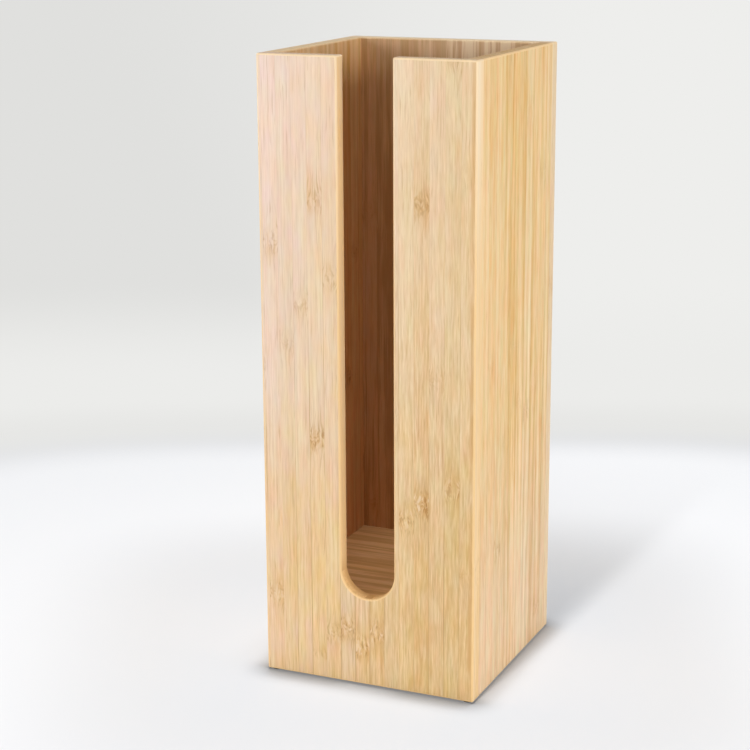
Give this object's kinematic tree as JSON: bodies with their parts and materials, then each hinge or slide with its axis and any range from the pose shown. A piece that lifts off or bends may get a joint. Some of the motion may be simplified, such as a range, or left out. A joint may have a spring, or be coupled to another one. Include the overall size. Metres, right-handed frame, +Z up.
{
  "type": "toilet roll storage cabinet",
  "caption": "Tall square open-topped bamboo box with a round-ended front slot and a raised inner floor, for storing spare toilet rolls one above the other.",
  "frame": {"origin": "on the ground, at the middle of the square plan", "axes": "+Z up along the height, -Y out of the slotted front, +X to the right as seen from the front"},
  "size_m": [0.15, 0.15, 0.418],
  "materials": {
    "bamboo_board": "satin clear lacquer on edge-glued bamboo, grain upright",
    "bamboo_side": "satin clear lacquer on edge-glued bamboo, grain upright",
    "bamboo_floor": "satin clear lacquer on edge-glued bamboo, grain left to right",
    "dowel_wood": "bare turned wood",
    "pad_rubber": "matte"
  },
  "bodies": {
    "root": {"front_panel": "bamboo_board", "back_panel": "bamboo_board", "left_panel": "bamboo_side", "right_panel": "bamboo_side", "floor_panel": "bamboo_floor", "corner_dowels": "dowel_wood", "foot_pads": "pad_rubber"}
  },
  "joints": []
}
